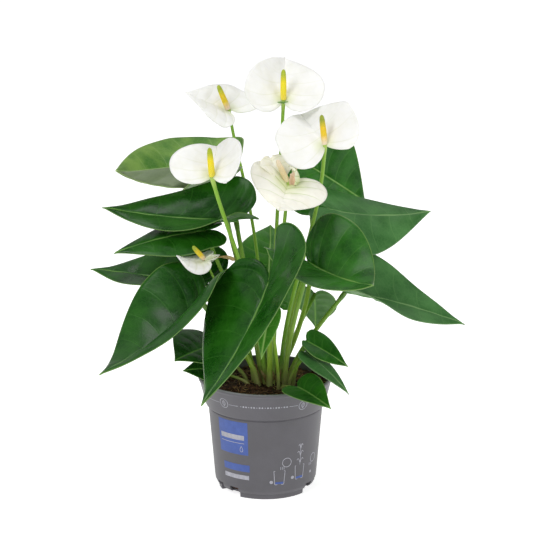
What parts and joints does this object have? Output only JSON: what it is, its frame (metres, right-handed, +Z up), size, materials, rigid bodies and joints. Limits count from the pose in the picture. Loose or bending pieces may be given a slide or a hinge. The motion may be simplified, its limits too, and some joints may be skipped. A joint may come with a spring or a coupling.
{
  "type": "potted anthurium",
  "caption": "Potted anthurium houseplant: heart-shaped leaves and white bracts with yellow spadices on slim stalks rising from peat in a tapered plastic nursery pot.",
  "frame": {"origin": "centre of the pot's underside, on the plane that the pot stands on", "axes": "+Z up along the pot's axis; the plant's front, where the low front leaf hangs over the rim, faces -Y; +X is to the right seen from the front"},
  "size_m": [0.3408, 0.3315, 0.3794],
  "materials": {
    "moulded_grey": "moulded satin grey",
    "peat": null,
    "stem_base": "brownish green living stem base",
    "leaf": null,
    "petiole": "smooth living green stalk",
    "spathe": "waxy white living bract",
    "spadix": "fine bumpy yellow flower spike",
    "dry_bract": "thin dry papery bract"
  },
  "bodies": {
    "root": {"pot": "moulded_grey", "soil": "peat", "crown": "stem_base", "blade_back_left_top": "leaf", "petiole_back_left_top": "petiole", "blade_left_upper": "leaf", "petiole_left_upper": "petiole", "blade_left_middle": "leaf", "petiole_left_middle": "petiole", "blade_left_low": "leaf", "petiole_left_low": "petiole", "blade_front_left": "leaf", "petiole_front_left": "petiole", "blade_front_centre": "leaf", "petiole_front_centre": "petiole", "blade_back_centre": "leaf", "petiole_back_centre": "petiole", "blade_front_right": "leaf", "petiole_front_right": "petiole", "blade_right_upper": "leaf", "petiole_right_upper": "petiole", "blade_right_low": "leaf", "petiole_right_low": "petiole", "blade_back_right": "leaf", "petiole_back_right": "petiole", "blade_back_low": "leaf", "petiole_back_low": "petiole", "blade_small_right_upper": "leaf", "petiole_small_right_upper": "petiole", "blade_small_right_middle": "leaf", "petiole_small_right_middle": "petiole", "blade_small_right_rim": "leaf", "petiole_small_right_rim": "petiole", "blade_small_left": "leaf", "petiole_small_left": "petiole", "blade_small_left_rim": "leaf", "petiole_small_left_rim": "petiole", "blade_small_front": "leaf", "petiole_small_front": "petiole", "spathe_upper_left": "spathe", "spadix_upper_left": "spadix", "stalk_upper_left": "petiole", "spathe_top": "spathe", "spadix_top": "spadix", "stalk_top": "petiole", "spathe_right": "spathe", "spadix_right": "spadix", "stalk_right": "petiole", "spathe_left": "spathe", "spadix_left": "spadix", "stalk_left": "petiole", "spathe_centre": "spathe", "spadix_centre": "spadix", "stalk_centre": "petiole", "spathe_low": "spathe", "spadix_low": "spadix", "stalk_low": "petiole", "dry_sheath": "dry_bract"}
  },
  "joints": []
}
